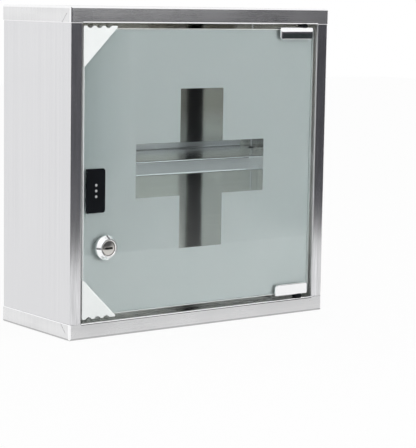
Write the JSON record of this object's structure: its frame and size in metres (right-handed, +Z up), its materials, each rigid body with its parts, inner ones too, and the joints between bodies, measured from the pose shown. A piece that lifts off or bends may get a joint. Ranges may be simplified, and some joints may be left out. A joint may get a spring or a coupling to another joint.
{
  "type": "medicine cabinet",
  "caption": "Square wall cabinet of folded steel with a recessed frosted glass door, a clear cross window, pivot hinges, push latch, cam lock and an inner shelf.",
  "frame": {"origin": "middle of the underside of the steel body", "axes": "+X to the right seen from the front, +Y from the front to the wall, +Z up"},
  "size_m": [0.3, 0.121, 0.3],
  "materials": {
    "steel_sheet": "satin, fine vertical brushing",
    "chrome": "bright chrome plate",
    "zinc": "dull zinc plate",
    "fixings": "plain bright steel",
    "clear_glass": "polished, greenish edges",
    "frosted_glass": "matt frosted",
    "black_plastic": "half gloss",
    "white_plastic": "smooth matt",
    "soft_liner": "soft clear vinyl, hazy",
    "rubber": "matt",
    "magnet": "dark metal"
  },
  "bodies": {
    "cabinet": {"back_panel": "steel_sheet", "bottom_cover": "steel_sheet", "hinge_bush_bottom": "black_plastic", "hinge_bush_top": "black_plastic", "latch_bracket": "steel_sheet", "latch_housing": "white_plastic", "latch_screw_front": "fixings", "latch_screw_rear": "fixings", "latch_spring": "fixings", "left_side_panel": "steel_sheet", "right_side_panel": "steel_sheet", "shelf": "steel_sheet", "shelf_rivet_left_front": "fixings", "shelf_rivet_left_rear": "fixings", "shelf_rivet_right_front": "fixings", "shelf_rivet_right_rear": "fixings", "shelf_support_left": "steel_sheet", "shelf_support_right": "steel_sheet", "top_cover": "steel_sheet"},
    "door": {"glass_pane": "clear_glass", "frosted_layer": "frosted_glass", "push_plate": "black_plastic", "strike_plate": "zinc", "corner_guard_top": "white_plastic", "corner_guard_bottom": "white_plastic", "hinge_clamp_top": "chrome", "hinge_clamp_bottom": "chrome", "hinge_liner_top": "soft_liner", "hinge_liner_bottom": "soft_liner", "hinge_pin_top": "fixings", "hinge_pin_bottom": "fixings", "hinge_screw_top_1": "fixings", "hinge_screw_top_2": "fixings", "hinge_screw_bottom_1": "fixings", "hinge_screw_bottom_2": "fixings", "lock_barrel": "chrome", "lock_gasket": "rubber", "lock_nut": "fixings"},
    "lock_core": {"lock_plug": "chrome", "lock_cam": "zinc", "lock_cam_screw": "fixings"},
    "latch_plunger_body": {"latch_plunger": "white_plastic", "latch_magnet": "magnet"}
  },
  "joints": [
    {"name": "door_hinge", "type": "hinge", "parent": "cabinet", "child": "door", "pos_m": [0.1214, -0.0535, 0.15], "axis": [0, 0, 1], "range_deg": [0, 110]},
    {"name": "lock_turn", "type": "hinge", "parent": "door", "child": "lock_core", "pos_m": [-0.11, -0.0535, 0.0825], "axis": [0, 1, 0], "range_deg": [0, 90]},
    {"name": "latch_slide", "type": "slide", "parent": "cabinet", "child": "latch_plunger_body", "axis": [0, -1, 0], "range_m": [0, 0.0102], "deforming": ["latch_spring"]}
  ],
  "couplings": [
    {"joint": "latch_slide", "follows": "door_hinge", "m_per_rad": 0.0052}
  ]
}
